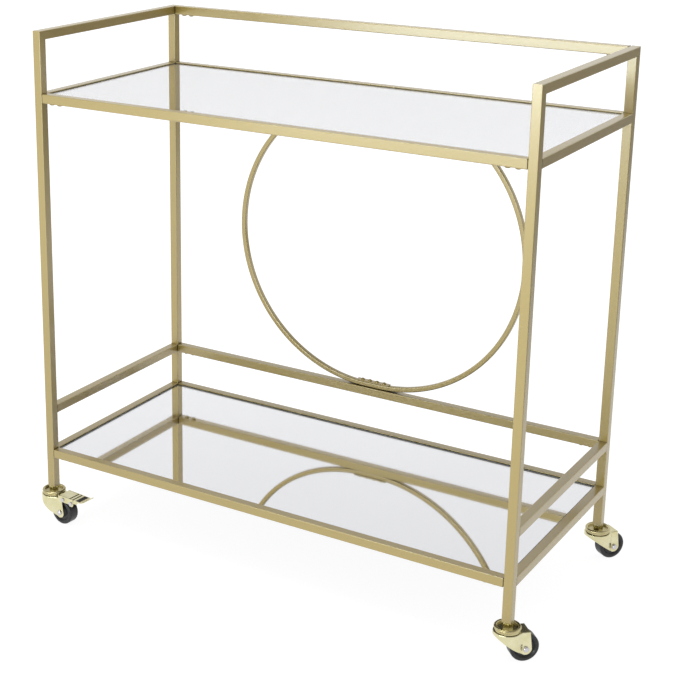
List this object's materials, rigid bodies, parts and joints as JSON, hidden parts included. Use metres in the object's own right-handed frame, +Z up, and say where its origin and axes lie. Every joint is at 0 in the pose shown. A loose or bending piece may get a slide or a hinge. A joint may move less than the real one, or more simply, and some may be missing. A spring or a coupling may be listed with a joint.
{
  "type": "bar cart",
  "caption": "Rolling bar cart with a gold square-tube frame, mirror shelves, a round hoop in the back, a low guard rail and swivel casters with foot brakes.",
  "frame": {"origin": "on the floor, under the middle of the frame's four legs", "axes": "+X along the cart to the right as seen from its open front, +Y towards the hoop at the back, +Z up"},
  "size_m": [0.8032, 0.3884, 0.755],
  "materials": {
    "gold_paint": "satin metallic gold paint",
    "gold_screw": "satin metallic gold",
    "yellow_zinc": "yellow zinc plate",
    "bright_steel": "bright zinc plate",
    "mirror": "silvered glass",
    "clear_bumper": "clear soft plastic",
    "black_wheel": "moulded black plastic",
    "black_pad": "black pad"
  },
  "bodies": {
    "frame": {"left_front_leg": "gold_paint", "left_rear_leg": "gold_paint", "left_top_rail": "gold_paint", "left_upper_shelf_rail": "gold_paint", "left_guard_rail": "gold_paint", "left_lower_shelf_rail": "gold_paint", "right_front_leg": "gold_paint", "right_rear_leg": "gold_paint", "right_top_rail": "gold_paint", "right_upper_shelf_rail": "gold_paint", "right_guard_rail": "gold_paint", "right_lower_shelf_rail": "gold_paint", "back_top_rail": "gold_paint", "back_upper_shelf_rail": "gold_paint", "front_upper_shelf_rail": "gold_paint", "back_guard_rail": "gold_paint", "back_lower_shelf_rail": "gold_paint", "front_lower_shelf_rail": "gold_paint", "back_hoop": "gold_paint", "hoop_plates": "gold_paint", "shelf_tabs": "gold_paint", "rail_tongues": "bright_steel", "rail_screws": "gold_screw", "hoop_screws": "gold_screw", "upper_mirror": "mirror", "lower_mirror": "mirror", "mirror_bumpers": "clear_bumper", "leg_plugs": "bright_steel", "caster_stems": "bright_steel", "swivel_races": "yellow_zinc", "race_balls": "bright_steel"},
    "left_front_swivel": {"left_front_fork": "yellow_zinc", "left_front_axle": "bright_steel", "left_front_axle_nut": "bright_steel", "left_front_pivot_pin": "bright_steel", "left_front_stop_pin": "yellow_zinc"},
    "left_front_wheel_body": {"left_front_wheel": "black_wheel"},
    "left_front_pedal": {"left_front_brake_pedal": "yellow_zinc", "left_front_pedal_pad": "black_pad"},
    "right_front_swivel": {"right_front_fork": "yellow_zinc", "right_front_axle": "bright_steel", "right_front_axle_nut": "bright_steel"},
    "right_front_wheel_body": {"right_front_wheel": "black_wheel"},
    "left_rear_swivel": {"left_rear_fork": "yellow_zinc", "left_rear_axle": "bright_steel", "left_rear_axle_nut": "bright_steel", "left_rear_pivot_pin": "bright_steel", "left_rear_stop_pin": "yellow_zinc"},
    "left_rear_wheel_body": {"left_rear_wheel": "black_wheel"},
    "left_rear_pedal": {"left_rear_brake_pedal": "yellow_zinc", "left_rear_pedal_pad": "black_pad"},
    "right_rear_swivel": {"right_rear_fork": "yellow_zinc", "right_rear_axle": "bright_steel", "right_rear_axle_nut": "bright_steel"},
    "right_rear_wheel_body": {"right_rear_wheel": "black_wheel"}
  },
  "joints": [
    {"name": "left_front_swivel_turn", "type": "hinge", "parent": "frame", "child": "left_front_swivel", "pos_m": [-0.3745, -0.1655, 0.044], "axis": [0, 0, 1], "continuous": true},
    {"name": "left_front_wheel_spin", "type": "hinge", "parent": "left_front_swivel", "child": "left_front_wheel_body", "pos_m": [-0.35258, -0.16742, 0.02], "axis": [0.0872, 0.9962, 0], "continuous": true},
    {"name": "left_front_brake_tilt", "type": "hinge", "parent": "left_front_swivel", "child": "left_front_pedal", "pos_m": [-0.34561, -0.16803, 0.0433], "axis": [0.0872, 0.9962, 0], "range_deg": [0, 10]},
    {"name": "right_front_swivel_turn", "type": "hinge", "parent": "frame", "child": "right_front_swivel", "pos_m": [0.3745, -0.1655, 0.044], "axis": [0, 0, 1], "continuous": true},
    {"name": "right_front_wheel_spin", "type": "hinge", "parent": "right_front_swivel", "child": "right_front_wheel_body", "pos_m": [0.39032, -0.15022, 0.02], "axis": [-0.6947, 0.7193, 0], "continuous": true},
    {"name": "left_rear_swivel_turn", "type": "hinge", "parent": "frame", "child": "left_rear_swivel", "pos_m": [-0.3745, 0.1655, 0.044], "axis": [0, 0, 1], "continuous": true},
    {"name": "left_rear_wheel_spin", "type": "hinge", "parent": "left_rear_swivel", "child": "left_rear_wheel_body", "pos_m": [-0.35315, 0.17082, 0.02], "axis": [-0.2419, 0.9703, 0], "continuous": true},
    {"name": "left_rear_brake_tilt", "type": "hinge", "parent": "left_rear_swivel", "child": "left_rear_pedal", "pos_m": [-0.34636, 0.17252, 0.0433], "axis": [-0.2419, 0.9703, 0], "range_deg": [0, 10]},
    {"name": "right_rear_swivel_turn", "type": "hinge", "parent": "frame", "child": "right_rear_swivel", "pos_m": [0.3745, 0.1655, 0.044], "axis": [0, 0, 1], "continuous": true},
    {"name": "right_rear_wheel_spin", "type": "hinge", "parent": "right_rear_swivel", "child": "right_rear_wheel_body", "pos_m": [0.38712, 0.18352, 0.02], "axis": [-0.8192, 0.5736, 0], "continuous": true}
  ]
}
